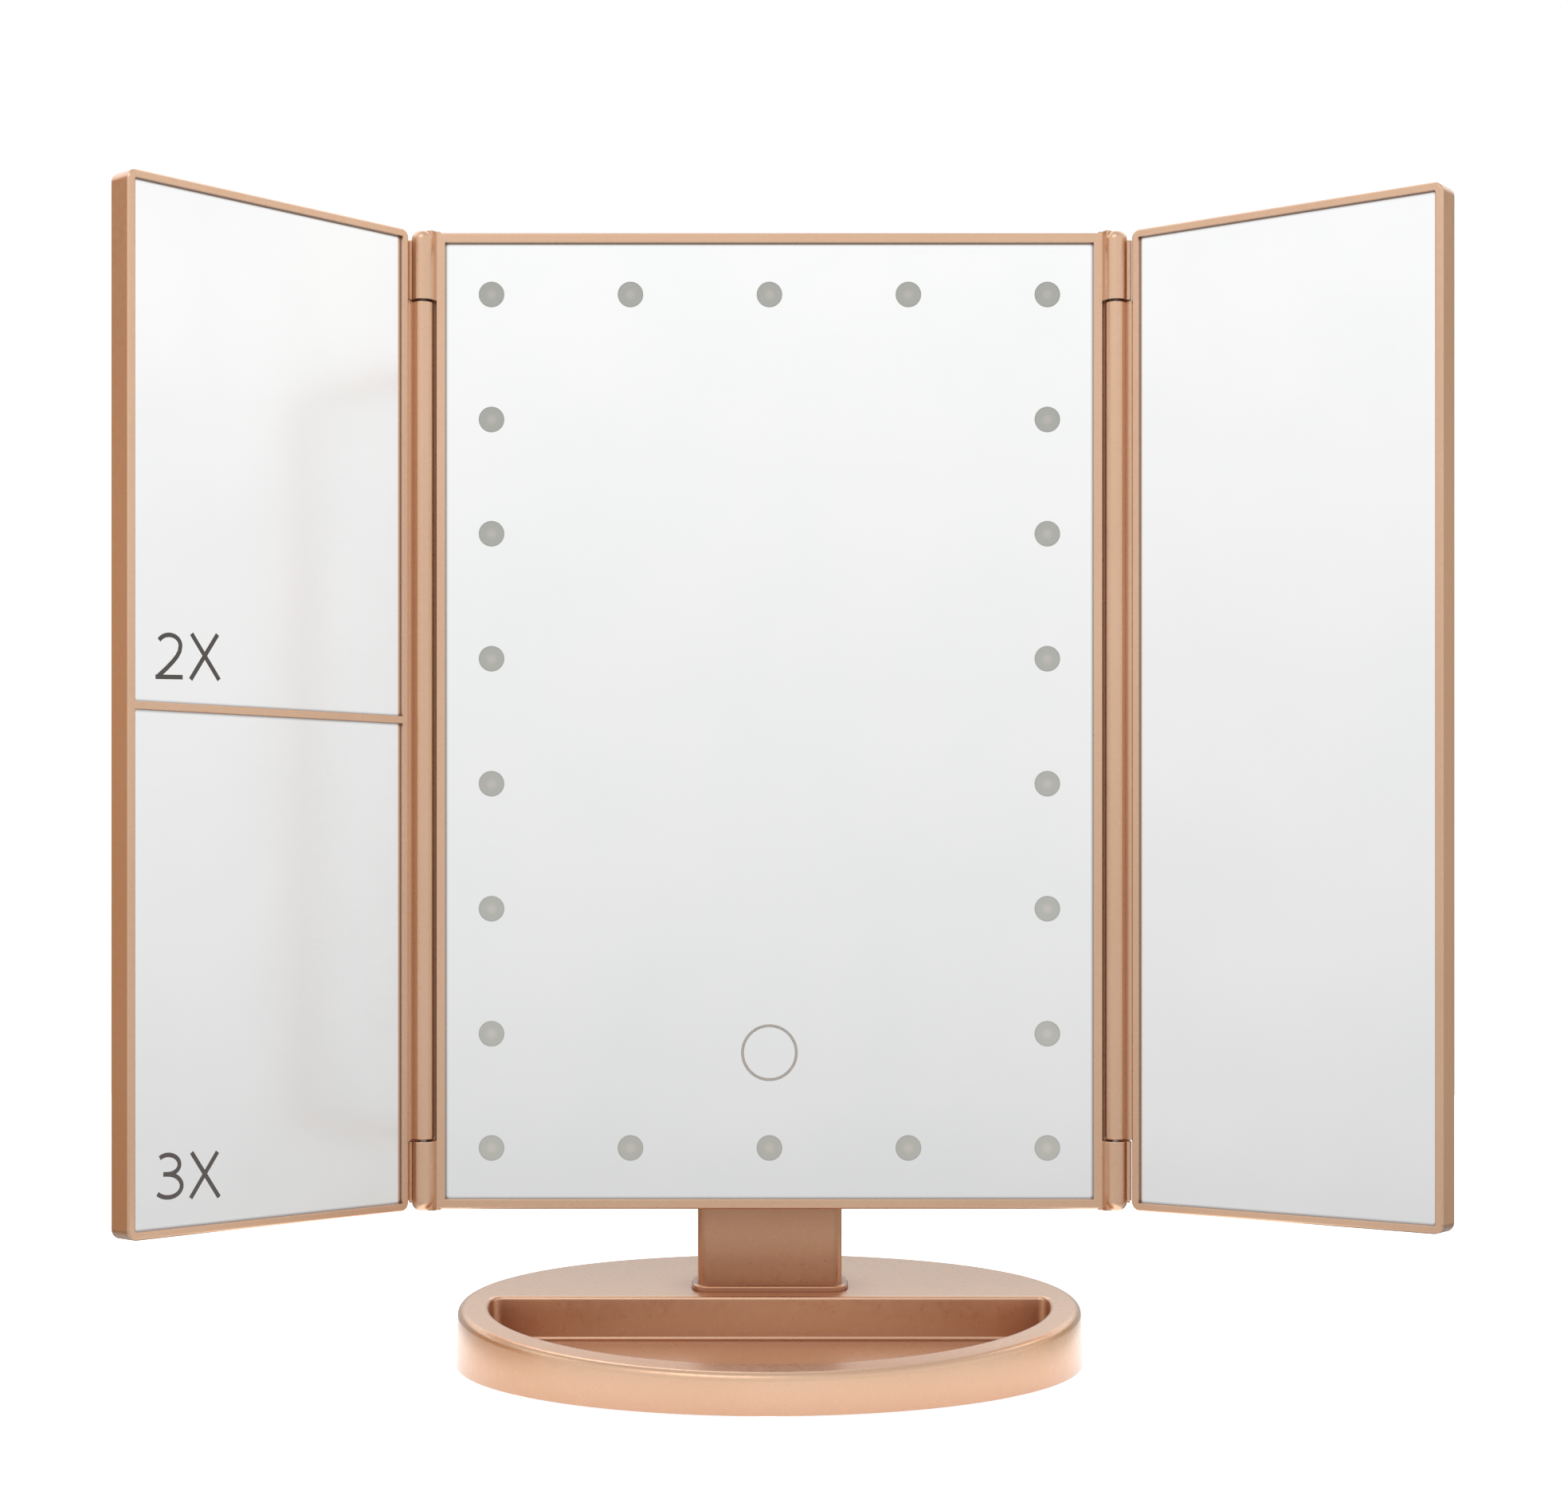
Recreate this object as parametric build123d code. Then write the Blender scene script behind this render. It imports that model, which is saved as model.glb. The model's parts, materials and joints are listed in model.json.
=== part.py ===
from build123d import *
import os
from math import acos, asin, atan2, cos, degrees, hypot, radians, sin, sqrt

os.makedirs("parts", exist_ok=True)

# Trifold vanity mirror. Millimetres, +Z up, the viewer sits on the -Y side.
# The origin is the centre of the oval base on the plane that the feet rest on.

# ---------------------------------------------------------------- fits
fit = 0.15              # around moulded pieces that locate in each other
press = 0.02            # around pins and sockets that are pushed in for good
running = 0.05          # radial, a pin in the bore it turns in
slide_gap = 0.25        # around a piece that slides or swings by hand

# ---------------------------------------------------------------- pose at rest
head_tilt = 2.8         # the head leans back, degrees
left_open = 47.4        # each wing, from flat with the centre panel, degrees
right_open = 36.5

# ---------------------------------------------------------------- centre panel
panel_width = 167.0
panel_height = 244.0
panel_wall = 1.8        # frame wall beside the mirror
lip_cover = 0.6         # how far the front lip covers the mirror's edge
lip_depth = 1.3
glass_depth = 2.0
tape_depth = 0.5
diffuser_depth = 1.0
chip_gap = 0.3          # air between the light chips and the diffuser
chip_depth = 0.8
board_depth = 1.0
wire_space = 2.1        # behind the light board
cover_depth = 2.0
frame_corner = 1.2
front_chamfer = 0.3
back_round = 1.4        # rounding of the rear edges

# ---------------------------------------------------------------- side hinges
barrel_radius = 2.5
barrel_gap = 0.55       # barrel to the panel's side
barrel_end_round = 0.25
knuckle_step = 0.3      # the fixed knuckles' radius beyond the barrels'
knuckle_height = 17.0
knuckle_gap = 0.4       # knuckle to wing barrel, along the axis
knuckle_round = 2.2
knuckle_proud = 0.3     # above the panel's end
fin_gap = 0.45          # fin behind a knuckle's outer side, to the wing's frame
fin_front = 1.0         # its front, in front of the hinge axis
hinge_gap = 0.35        # around the barrels and knuckles, to what moves past them
hinge_proud = 0.25      # the hinge axis stands in front of the mirror faces
rear_strip = 1.4        # thickness, behind the barrels
pin_radius = 1.0
pin_in_wing = 10.0
bush_radius = 1.7
bush_length = 12.5

# ---------------------------------------------------------------- wings
wing_depth = 7.0
shut_gap = 0.4          # between the two wings when they are shut
wing_inner_gap = 1.5    # wing frame to the fixed knuckles
wing_wall = 1.2
wing_inner_wall = 1.2
wing_web_recess = 0.5   # the web to the barrel, behind the wing's front
wing_lip = 1.0          # depth of the wing's front lip
wing_lip_cover = 0.7
wing_outer_corner = 2.4
wing_inner_corner = 2.0
wing_plate = 1.5
divider_width = 1.8
divider_web = 0.8

# ---------------------------------------------------------------- lights and touch key
window_radius = 3.2
window_inset = 13.9     # side columns, from the panel's sides
window_end_inset = 15.15  # end rows, from the panel's ends
window_narrow_gap = 28.6  # two of the gaps between rows; the rest share what is left
mark_depth = 0.15       # depth of the etched windows and of the touch ring
strip_width = 12.0      # the light board's strips
strip_corner = 2.0
tape_ring = 0.8         # tape's holes, around the windows
post_radius = 2.0
chip_width = 2.8
chip_height = 3.5
touch_above_edge = 39.0  # touch ring above the panel's lower edge
touch_radius = 7.1
touch_line = 0.7
touch_board_width = 26.0
touch_board_height = 15.0
lead_width = 5.0
lead_depth = 1.2
light_lead_width = 3.0
ribbon = 0.6

# ---------------------------------------------------------------- tilt joint
pivot_height = 80.9
pivot_to_bay = 3.0      # pivot, in front of the cells' bay
pivot_above_edge = 42.0  # above the panel's lower edge
tilt_barrel = 6.5
tilt_clearance = 1.2    # barrel to bracket
tilt_pin_radius = 2.0
bracket_plate = 2.0
bracket_height = 28.0
ear_thickness = 3.5
ear_to_edge = 9.0       # bracket's plate beside its ears
washer_thickness = 0.5
washer_radius = 5.0
bolt_head_radius = 4.2
bolt_head_height = 2.2
bolt_thread = 5.0       # past the bracket
nut_radius = 4.0
nut_height = 3.2

# ---------------------------------------------------------------- neck
neck_width = 37.0
neck_corner = 2.5
neck_wall = 2.0
neck_plate = 1.5
neck_ledge = 0.8        # the back cover's seat
socket_floor = 1.5      # under the tongue
flange_out = 1.4
neck_seat = 0.3         # seat's depth below the deck, at the flange's front
flange_height = 1.5     # at its front edge, above the deck
tongue_width = 30.0
tongue_depth = 6.0
tongue_length = 7.0
tongue_back = 1.5       # neck's front face to the tongue

# ---------------------------------------------------------------- base
base_width = 157.6
base_depth = 118.0
base_back_height = 16.3
base_front_height = 9.6
base_draft = 0.7        # each side, over the base's height
base_round = 1.8
foot_proud = 1.0
wall = 2.2
deck = 2.0
rim = 7.5               # around the tray
tray_to_neck = 6.6      # the tray's straight wall, in front of the neck
tray_floor = 3.9        # above the shell's lower edge
tray_corner = 2.5
tray_round = 0.8        # rounding of the tray's upper edge
tray_wall = 2.0
floor_thickness = 1.9
cover_plate = 1.8

# ---------------------------------------------------------------- power
cell_diameter = 10.5
cell_length = 44.5
spring_length = 4.8
spring_radius = 2.6
spring_pitch = 1.5
spring_wire = 0.3       # radius
contact = 0.5
cell_gap = 0.2          # around and between the cells
bay_wall = 1.2
bay_margin = 1.86       # bay's rear corners to the bottom cover's edge
door_clear = 0.4        # cells above the door
board_width = 42.0
board_gap = 1.2         # behind the bay's wall
board_to_wall = 4.2
board_lift = 5.0        # above the shell's lower edge
board_post_inset = 4.0
switch_x = -11.0
switch_above_board = 1.9
socket_x = 10.0
socket_width = 7.6
socket_height = 2.7
socket_length = 5.6
socket_wall = 0.4
socket_gap = 0.3        # base's opening around the socket
switch_travel = 3.0
knob_width = 2.8
knob_height = 1.8
knob_proud = 1.2
tab_width = 6.0
tab_places = (-26.0, 26.0)
grip_width = 14.0
grip_height = 4.0
grip_depth = 0.6
latch_width = 8.0
latch_reach = 2.5

# ---------------------------------------------------------------- fasteners and feet
screw_radius = 1.1
screw_head = 2.1
screw_head_depth = 1.0
boss_radius = 2.6
screw_grip = 5.0        # thread beyond the plate that is held
panel_screw_grip = 3.4
bracket_screw_grip = 1.6
pilot_spare = 0.5       # pilot hole beyond the screw's end
head_sunk = 0.05        # screw heads below their plates
cross_length = 2.6      # driver slots
cross_width = 0.5
cross_depth = 0.45
foot_radius = 4.6
foot_recess = 0.6
foot_inset = 13.0       # outer feet, from the base's edge
foot_gap = 0.6          # rear foot, from the base's wall
screw_to_bay = 3.0      # rear screws, behind the cells' bay

# ---------------------------------------------------------------- derived places
# The base: an oval with a crowned top. The cells' bay goes as far back as the oval
# leaves room for it, the neck stands in front of the bay and the tray in front of the neck.
shell_z = foot_proud
a = base_width / 2
b = base_depth / 2
crown_drop = base_back_height - base_front_height
crown_radius = (base_depth ** 2 + crown_drop ** 2) / (2 * crown_drop)
crown_axis_z = shell_z + base_back_height - crown_radius
shell_high = shell_z + base_back_height
plate_top = shell_z + cover_plate
floor_z = shell_z + tray_floor


def crown_z(y):
    """Height of the base's curved top."""
    return crown_axis_z + sqrt(crown_radius ** 2 - (y - b) ** 2)


bay_half = cell_length + spring_length / 2 + contact + cell_gap
bay_corner = (bay_half + bay_margin) / (a - wall - fit)
bay_back = (b - wall - fit) * sqrt(1 - bay_corner ** 2)
bay_front = bay_back - 2 * cell_diameter - 3 * cell_gap
cell_z = plate_top + door_clear + cell_diameter / 2
cell_rows = (bay_front + cell_gap + cell_diameter / 2, bay_back - cell_gap - cell_diameter / 2)

pivot_y = bay_front - pivot_to_bay
neck_front = pivot_y - tilt_barrel
neck_depth = 2 * tilt_barrel
neck_half = neck_width / 2
tray_back = neck_front - tray_to_neck
seat_z = crown_z(neck_front - flange_out) - neck_seat
tongue_low = seat_z - tongue_length
tongue_y = neck_front + tongue_back

# The head is modelled upright: X right, Y back from the front face of its bezel,
# Z up from the panel's centre. Each wing is modelled from its hinge axis outward.
half_w = panel_width / 2
half_h = panel_height / 2
inner_w = half_w - panel_wall
inner_h = half_h - panel_wall
glass_back = lip_depth + glass_depth
tape_back = glass_back + tape_depth
diffuser_back = tape_back + diffuser_depth
chip_front = diffuser_back + chip_gap
board_front = chip_front + chip_depth
board_back = board_front + board_depth
cover_front = board_back + wire_space
panel_depth = cover_front + cover_depth

hinge_x = half_w + barrel_gap + barrel_radius
barrel_half = half_h - knuckle_height - knuckle_gap
knuckle_radius = barrel_radius + knuckle_step
wing_start = knuckle_radius + wing_inner_gap
strip_front = knuckle_radius + hinge_gap
wing_reach = hinge_x - shut_gap / 2
wing_mirror_back = wing_lip + glass_depth
wing_plate_front = wing_depth - wing_plate

side_x = half_w - window_inset
top_z = half_h - window_end_inset
wide_gap = (2 * top_z - 2 * window_narrow_gap) / 5
row_gaps = (wide_gap, window_narrow_gap, wide_gap, wide_gap, wide_gap, wide_gap, window_narrow_gap)
window_rows = [top_z - sum(row_gaps[:n]) for n in range(len(row_gaps) + 1)]
window_places = [(column * side_x / 2, z) for z in (window_rows[0], window_rows[-1])
                 for column in (-2, -1, 0, 1, 2)]
window_places += [(side * side_x, z) for z in window_rows[1:-1] for side in (-1, 1)]
touch_z = touch_above_edge - half_h

pivot_depth = panel_depth + bracket_plate + tilt_clearance + tilt_barrel
pivot_z = pivot_above_edge - half_h
head_place = (Pos(0, pivot_y, pivot_height) * Rot(-head_tilt, 0, 0)
              * Pos(0, -pivot_depth, -pivot_z))
left_place = head_place * Pos(-hinge_x, -hinge_proud, 0) * Rot(0, 0, left_open)
right_place = head_place * Pos(hinge_x, -hinge_proud, 0) * Rot(0, 0, -right_open)


# ---------------------------------------------------------------- shape helpers
def block(x, y, z):
    """Box between the two ends given for each axis."""
    middle = [(low + high) / 2 for low, high in (x, y, z)]
    return Pos(*middle) * Box(x[1] - x[0], y[1] - y[0], z[1] - z[0])


def rod_x(radius, x, y, z):
    return Pos((x[0] + x[1]) / 2, y, z) * Rot(0, 90, 0) * Cylinder(radius, x[1] - x[0])


def rod_y(radius, x, y, z):
    return Pos(x, (y[0] + y[1]) / 2, z) * Rot(90, 0, 0) * Cylinder(radius, y[1] - y[0])


def rod_z(radius, x, y, z):
    return Pos(x, y, (z[0] + z[1]) / 2) * Cylinder(radius, z[1] - z[0])


def slab(outline, y):
    """An outline drawn as (X, Z), made solid between two depths."""
    return Pos(0, y[1], 0) * Rot(90, 0, 0) * extrude(outline, y[1] - y[0])


def rectangle(width, height, corner=0.0):
    return RectangleRounded(width, height, corner) if corner else Rectangle(width, height)


def mirrored(shape):
    return mirror(shape, about=Plane.YZ)


def screw(length):
    """Countersunk screw along Z, its head just below z = 0 with a cross slot in it."""
    head = Pos(0, 0, -screw_head_depth / 2) * Cone(screw_radius, screw_head, screw_head_depth)
    shank = rod_z(screw_radius, 0, 0, (-length, -screw_head_depth))
    slot = Box(cross_length, cross_width, 2 * cross_depth) + Box(cross_width, cross_length, 2 * cross_depth)
    return Pos(0, 0, -head_sunk) * (head + shank - slot)


def screw_hole(length):
    """The space that such a screw and its head take, with room around them."""
    sink = Cone(screw_radius + fit, screw_head + fit, screw_head_depth)
    return (Pos(0, 0, -screw_head_depth / 2) * sink
            + rod_z(screw_radius + fit, 0, 0, (-length, -screw_head_depth / 2)))


# ---------------------------------------------------------------- centre panel
frame_boss_x = inner_w - boss_radius - 0.9
frame_boss_z = inner_h - boss_radius - 2.2
cover_screw_places = [(sx * frame_boss_x, sz * z) for sx in (-1, 1)
                      for z in (frame_boss_z, frame_boss_z / 3) for sz in (-1, 1)]
bracket_half = neck_half + washer_thickness + running + ear_thickness
bracket_screw_places = [(sx * (bracket_half + 4.5), pivot_z + sz * bracket_height / 4)
                        for sx in (-1, 1) for sz in (-1, 1)]


def knuckle(side, end):
    """A hinge barrel's fixed end, with the slope and the web that join it to the frame."""
    low, high = half_h - knuckle_height, half_h + knuckle_proud
    barrel = rod_z(knuckle_radius, 0, 0, (low, high))
    barrel = fillet(barrel.edges().sort_by(Axis.Z)[-1], knuckle_round)
    inward = half_w - hinge_x - frame_corner
    web = block((inward, knuckle_radius / 2), (hinge_proud, strip_front + rear_strip), (low, high))
    # the fin hides the gap to the wing, and stays inside the circle that the wing's end sweeps
    fin = block((0, wing_start - fin_gap), (-fin_front, strip_front + rear_strip),
                (low, half_h - knuckle_round))
    # the slope starts on the frame's front and meets the barrel at a tangent
    start = (half_w - hinge_x - front_chamfer, hinge_proud)
    turn = atan2(start[1], start[0]) + acos(knuckle_radius / hypot(*start))
    meets = (knuckle_radius * cos(turn), knuckle_radius * sin(turn))
    slope = make_face(Polyline(start, meets, (0, 0), (0, hinge_proud), close=True))
    slope = Pos(0, 0, low) * extrude(slope, high - low, dir=(0, 0, 1))
    bore = rod_z(bush_radius, 0, 0, (low - 1, low + bush_length))
    shape = Pos(hinge_x, -hinge_proud, 0) * (barrel + web + fin + slope - bore)
    shape = shape if side > 0 else mirrored(shape)
    return shape if end > 0 else mirror(shape, about=Plane.XY)


def centre_frame():
    shape = slab(rectangle(panel_width, panel_height, frame_corner), (0, cover_front))
    shape -= slab(rectangle(2 * inner_w, 2 * inner_h), (lip_depth, cover_front + 1))
    shape -= slab(rectangle(2 * (inner_w - lip_cover), 2 * (inner_h - lip_cover)), (-1, lip_depth + 1))
    shape = chamfer(shape.faces().sort_by(Axis.Y)[0].outer_wire().edges(), front_chamfer)
    for x, z in cover_screw_places:
        shape += rod_y(boss_radius, x, (glass_back + 1.0, cover_front), z)
        wall_x = sorted((x, (inner_w + 0.5) * (1 if x > 0 else -1)))
        shape += block(wall_x, (glass_back + 1.0, cover_front), (z - 1, z + 1))
    for x, z in cover_screw_places:
        shape -= rod_y(screw_radius + press, x,
                       (cover_front - panel_screw_grip - pilot_spare, cover_front + 1), z)
    # strips that close the gaps behind the barrels
    for side in (-1, 1):
        x = sorted((side * (half_w - panel_wall / 2), side * (hinge_x + wing_start - hinge_gap)))
        y = strip_front - hinge_proud
        shape += block(x, (y, y + rear_strip), (-half_h + frame_corner, half_h - frame_corner))
        for end in (-1, 1):
            shape += knuckle(side, end)
    return shape


def centre_back_cover():
    shape = slab(rectangle(panel_width, panel_height, frame_corner + 0.3), (cover_front, panel_depth))
    shape = fillet(shape.faces().sort_by(Axis.Y)[-1].outer_wire().edges(), back_round)
    lip_y = (cover_front - 2.0, cover_front)
    lip = slab(rectangle(2 * (inner_w - fit), 2 * (inner_h - fit)), lip_y)
    lip -= slab(rectangle(2 * (inner_w - fit - 1.2), 2 * (inner_h - fit - 1.2)), lip_y)
    for x, z in cover_screw_places:
        lip -= block((x - boss_radius - 1, x + boss_radius + 1), (0, panel_depth),
                     (z - boss_radius - fit, z + boss_radius + fit))
    shape += lip
    # posts that press the light board forward, between its lights
    for sx in (-1, 1):
        for upper, lower in zip(window_rows[:-1], window_rows[1:]):
            shape += rod_y(post_radius, sx * side_x, (board_back, cover_front + 0.5), (upper + lower) / 2)
    for x, z in bracket_screw_places:
        shape += rod_y(boss_radius, x, (cover_front - bracket_screw_grip, cover_front + 0.5), z)
    for x, z in cover_screw_places:
        shape -= Pos(x, panel_depth, z) * Rot(-90, 0, 0) * screw_hole(cover_depth + 1)
    for x, z in bracket_screw_places:
        shape -= rod_y(screw_radius + press, x,
                       (cover_front - bracket_screw_grip - pilot_spare, panel_depth + 1), z)
    shape -= block((-lead_width / 2 - fit, lead_width / 2 + fit), (0, panel_depth + 1),
                   (pivot_z - lead_depth / 2 - fit, pivot_z + lead_depth / 2 + fit))
    return shape


def centre_mirror():
    shape = slab(rectangle(2 * (inner_w - fit), 2 * (inner_h - fit)), (lip_depth, glass_back))
    for x, z in window_places:
        shape -= rod_y(window_radius, x, (0, lip_depth + mark_depth), z)
    ring = rod_y(touch_radius, 0, (0, lip_depth + mark_depth), touch_z)
    ring -= rod_y(touch_radius - touch_line, 0, (-1, glass_back), touch_z)
    return shape - ring


def light_strip(y):
    """The ring of board, tape or diffuser that runs behind the windows."""
    outer = rectangle(2 * side_x + strip_width, 2 * top_z + strip_width, strip_corner)
    inner = rectangle(2 * side_x - strip_width, 2 * top_z - strip_width, strip_corner)
    return slab(outer, y) - slab(inner, (y[0] - 1, y[1] + 1))


def mirror_tape():
    shape = light_strip((glass_back, tape_back))
    for x, z in window_places:
        shape -= rod_y(window_radius + tape_ring, x, (glass_back - 1, tape_back + 1), z)
    return shape


def led_chips():
    return [block((x - chip_width / 2, x + chip_width / 2), (chip_front, board_front),
                  (z - chip_height / 2, z + chip_height / 2)) for x, z in window_places]


def touch_pad():
    return rod_y(touch_radius - 0.5, 0, (glass_back, tape_back), touch_z)


def touch_board():
    return block((-touch_board_width / 2, touch_board_width / 2), (tape_back, tape_back + board_depth),
                 (touch_z - touch_board_height / 2, touch_z + touch_board_height / 2))


def touch_chips():
    back = tape_back + board_depth
    main = block((-9, -4), (back, back + 1.2), (touch_z - 2.5, touch_z + 2.5))
    driver = block((4.5, 8), (back, back + 1.0), (touch_z - 4, touch_z - 1))
    capacitor = block((6, 9.2), (back, back + 1.4), (touch_z + 2, touch_z + 4))
    plug = block((-2.5, 2.5), (back, board_back), (touch_z - 6.5, touch_z - 3.5))
    return [main, driver, capacitor, plug]


def light_lead():
    """Flat lead from the touch board's plug down to the light board."""
    return block((-light_lead_width / 2, light_lead_width / 2), (board_back, board_back + ribbon),
                 (window_rows[-1] + 2.0, touch_z - 3.5))


def head_lead():
    """Flat lead from the touch board straight back towards the pivot."""
    front = tape_back + board_depth
    return block((-lead_width / 2, lead_width / 2), (front, panel_depth + bracket_plate),
                 (pivot_z - lead_depth / 2, pivot_z + lead_depth / 2))


def cover_screws():
    return [Pos(x, panel_depth, z) * Rot(-90, 0, 0) * screw(cover_depth + panel_screw_grip)
            for x, z in cover_screw_places]


def tilt_bracket():
    z = (pivot_z - bracket_height / 2, pivot_z + bracket_height / 2)
    wing = bracket_half + ear_to_edge
    shape = slab(Pos(0, pivot_z) * RectangleRounded(2 * wing, bracket_height, 3.0),
                 (panel_depth, panel_depth + bracket_plate))
    for side in (-1, 1):
        x = sorted((side * (bracket_half - ear_thickness), side * bracket_half))
        shape += rod_x(tilt_barrel, x, pivot_depth, pivot_z)
        shape += block(x, (panel_depth, pivot_depth), (pivot_z - tilt_barrel, pivot_z + tilt_barrel))
        # foot rib of the ear
        shape += block(x, (panel_depth, panel_depth + bracket_plate + 1.0), (z[0] + 3, z[1] - 3))
    shape -= rod_x(tilt_pin_radius + press, (-wing, wing), pivot_depth, pivot_z)
    for x, screw_z in bracket_screw_places:
        sink = Pos(x, panel_depth + bracket_plate, screw_z) * Rot(-90, 0, 0)
        shape -= sink * screw_hole(bracket_plate + 1)
    return shape - block((-lead_width / 2 - fit, lead_width / 2 + fit), (0, pivot_depth),
                         (pivot_z - lead_depth / 2 - fit, pivot_z + lead_depth / 2 + fit))


def bracket_screws():
    length = bracket_plate + cover_depth + bracket_screw_grip
    return [Pos(x, panel_depth + bracket_plate, z) * Rot(-90, 0, 0) * screw(length)
            for x, z in bracket_screw_places]


def tilt_pin():
    """Shoulder bolt: domed head on one side, thread and nut on the other."""
    outer = bracket_half
    shank = rod_x(tilt_pin_radius, (-outer - bolt_thread, outer), pivot_depth, pivot_z)
    head = rod_x(bolt_head_radius, (outer, outer + bolt_head_height), pivot_depth, pivot_z)
    head = fillet(head.edges().sort_by(Axis.X)[-1], 1.4)
    socket = extrude(RegularPolygon(1.5, 6), bolt_head_height, both=True)
    return shank + head - Pos(outer + bolt_head_height, pivot_depth, pivot_z) * Rot(0, 90, 0) * socket


def tilt_nut():
    nut = Rot(0, -90, 0) * extrude(RegularPolygon(nut_radius, 6), nut_height)
    nut = Pos(-bracket_half, pivot_depth, pivot_z) * nut
    return nut - rod_x(tilt_pin_radius + press, (-bracket_half - bolt_thread, 0), pivot_depth, pivot_z)


def tilt_washers():
    rings = []
    for side in (-1, 1):
        x = sorted((side * (neck_half + running), side * (neck_half + running + washer_thickness)))
        rings.append(rod_x(washer_radius, x, pivot_depth, pivot_z)
                     - rod_x(tilt_pin_radius + press, (x[0] - 1, x[1] + 1), pivot_depth, pivot_z))
    return rings


def hinge_bushes(side):
    """Friction sleeves in the upper and lower knuckle; the wing's pins turn in them."""
    low = half_h - knuckle_height
    sleeve = rod_z(bush_radius, hinge_x, -hinge_proud, (low, low + bush_length))
    sleeve -= rod_z(pin_radius + running, hinge_x, -hinge_proud, (low - 1, low + bush_length + 1))
    sleeve = sleeve if side > 0 else mirrored(sleeve)
    return [sleeve, mirror(sleeve, about=Plane.XY)]


# ---------------------------------------------------------------- wings
wing_cavity_x = (wing_start + wing_inner_wall, wing_reach - wing_wall)
wing_front = hinge_proud
wing_glass_y = (wing_front + wing_lip, wing_front + wing_mirror_back)
wing_tape_y = (wing_glass_y[1], wing_glass_y[1] + tape_depth)
wing_plate_y = (wing_front + wing_plate_front, wing_front + wing_depth)


def wing_outline(inset, inner_corner=0.0, outer_corner=0.0, x=wing_cavity_x, half=half_h - wing_wall):
    """A wing-shaped outline set in from the given ends, with its own corner radii."""
    low, high = x[0] + inset, x[1] - inset
    shape = Pos((low + high) / 2, 0) * Rectangle(high - low, 2 * (half - inset))
    if outer_corner:
        shape = fillet(shape.vertices().group_by(Axis.X)[-1], outer_corner)
    if inner_corner:
        shape = fillet(shape.vertices().group_by(Axis.X)[0], inner_corner)
    return shape


def wing_frame(divided):
    outline = wing_outline(0, wing_inner_corner, wing_outer_corner, (wing_start, wing_reach), half_h)
    shape = slab(outline, (wing_front, wing_front + wing_depth))
    cavity_corner = wing_outer_corner / 2
    shape -= slab(wing_outline(0, 0.5, cavity_corner), (wing_glass_y[0], wing_plate_y[1] + 1))
    shape -= slab(wing_outline(wing_lip_cover, 0, cavity_corner - wing_lip_cover),
                  (wing_front - 1, wing_glass_y[0] + 1))
    front, back = shape.faces().sort_by(Axis.Y)[0], shape.faces().sort_by(Axis.Y)[-1]
    shape = chamfer(front.outer_wire().edges() + back.outer_wire().edges(), 0.35)
    if divided:
        x = (wing_cavity_x[0] - 0.3, wing_cavity_x[1] + 0.3)
        shape += block(x, (wing_front, wing_glass_y[0]), (-divider_width / 2, divider_width / 2))
        shape += block(x, (wing_front, wing_plate_y[0]), (-divider_web / 2, divider_web / 2))
    shape += block((0, wing_start + wing_inner_wall / 2), (wing_front + wing_web_recess, barrel_radius),
                   (-barrel_half, barrel_half))
    barrel = rod_z(barrel_radius, 0, 0, (-barrel_half, barrel_half))
    shape += chamfer(barrel.edges().filter_by(GeomType.CIRCLE), barrel_end_round)
    for end in (-1, 1):
        z = sorted((end * (barrel_half - pin_in_wing), end * (barrel_half + 1)))
        shape -= rod_z(pin_radius + press, 0, 0, z)
    return shape


def half_wing(shape, end):
    """The part of a wing-shaped piece above (1) or below (-1) the divider's web."""
    z = sorted((end * (divider_web / 2 + fit), end * panel_height))
    return shape & block((0, panel_width), (0, panel_depth), z)


def wing_mirror():
    return slab(wing_outline(fit, 0.3, wing_outer_corner / 2 - fit), wing_glass_y)


def wing_tape():
    return slab(wing_outline(3.0), wing_tape_y)


def wing_back(divided):
    """Closing plate, with ribs that press the mirror against the lip."""
    shape = slab(wing_outline(fit, 0.3, wing_outer_corner / 2 - fit), wing_plate_y)
    rib_y = (wing_tape_y[1], wing_plate_y[0] + 0.5)
    ribs = slab(wing_outline(4.0), rib_y) - slab(wing_outline(5.2), rib_y)
    for z in (-half_h / 2, half_h / 2):
        ribs += block((wing_cavity_x[0] + 4.5, wing_cavity_x[1] - 4.5), rib_y, (z - 0.6, z + 0.6))
    if divided:
        ribs -= block((0, panel_width), (rib_y[0] - 1, wing_plate_y[0]),
                      (-divider_web / 2 - fit, divider_web / 2 + fit))
    return shape + ribs


def hinge_pins():
    reach = half_h - knuckle_height + bush_length - 0.5
    pin = rod_z(pin_radius, 0, 0, (barrel_half - pin_in_wing, reach))
    return [pin, mirror(pin, about=Plane.XY)]


# ---------------------------------------------------------------- neck
flange_top = seat_z + 0.3 + flange_height
neck_cavity_low = flange_top + 2.0
neck_cavity_high = pivot_height - tilt_barrel - 2.0
neck_back = pivot_y + tilt_barrel
lead_y = (bay_front + cell_gap, bay_front + cell_gap + ribbon)
neck_screw_places = [(-neck_half + neck_wall + boss_radius + 2.5, neck_cavity_low + 5.0),
                     (neck_half - neck_wall - boss_radius - 2.5, neck_cavity_high - 5.0)]
tongue_screw_x = tongue_width / 3
tongue_middle = tongue_y + tongue_depth / 2


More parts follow.
